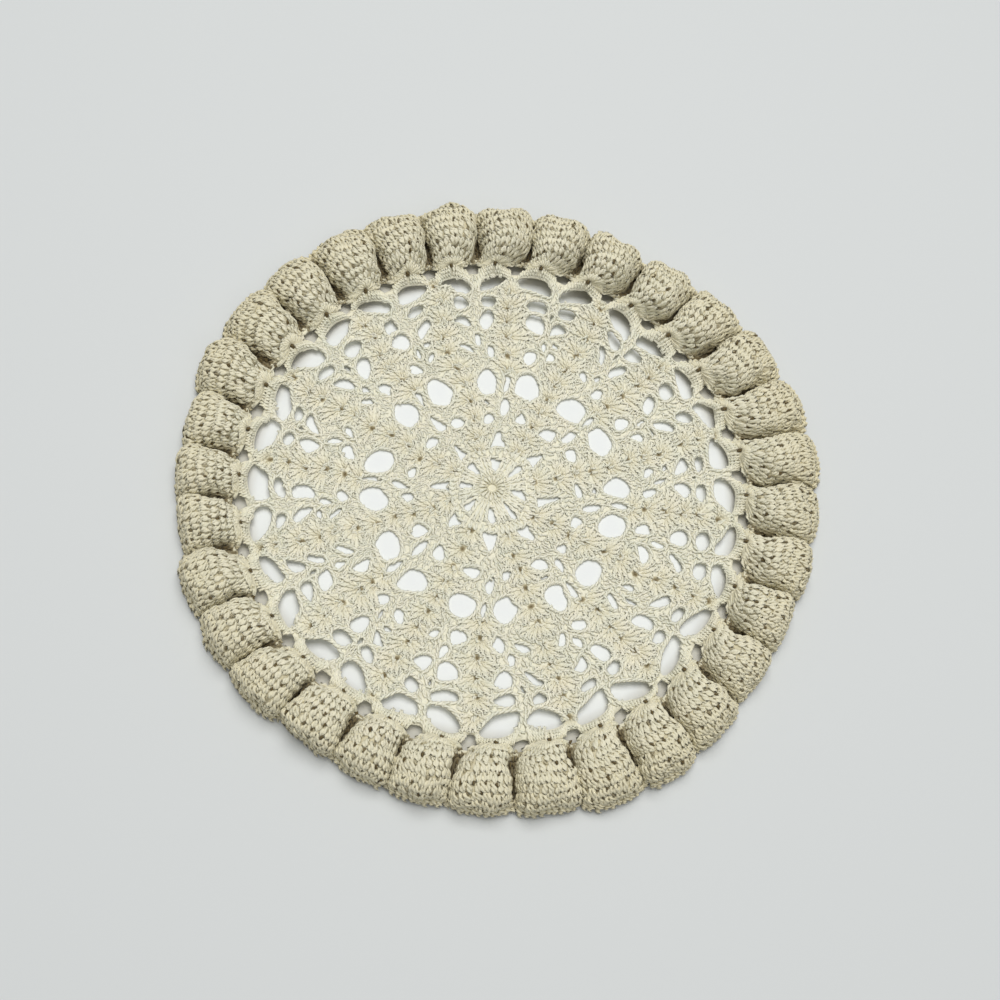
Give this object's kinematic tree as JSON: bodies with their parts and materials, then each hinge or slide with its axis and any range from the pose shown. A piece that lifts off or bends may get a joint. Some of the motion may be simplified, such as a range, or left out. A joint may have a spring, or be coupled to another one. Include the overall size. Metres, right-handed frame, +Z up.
{
  "type": "lace doily",
  "caption": "Round crocheted lace doily with an openwork centre of shell-stitch spokes and chain loops, and a gathered frill of stood-up shells round its edge.",
  "frame": {"origin": "on the table under the middle of the lace, at the bottom centre of the doily", "axes": "+Z up out of the table; the first of the 16 spokes points 122.8 degrees round from +X towards +Y"},
  "size_m": [0.1897, 0.1867, 0.0159],
  "materials": {
    "cotton_thread": "matt cream crochet cotton, slightly yellowed in the folds of the frill"
  },
  "bodies": {
    "root": {"lace_doily": "cotton_thread"}
  },
  "joints": []
}
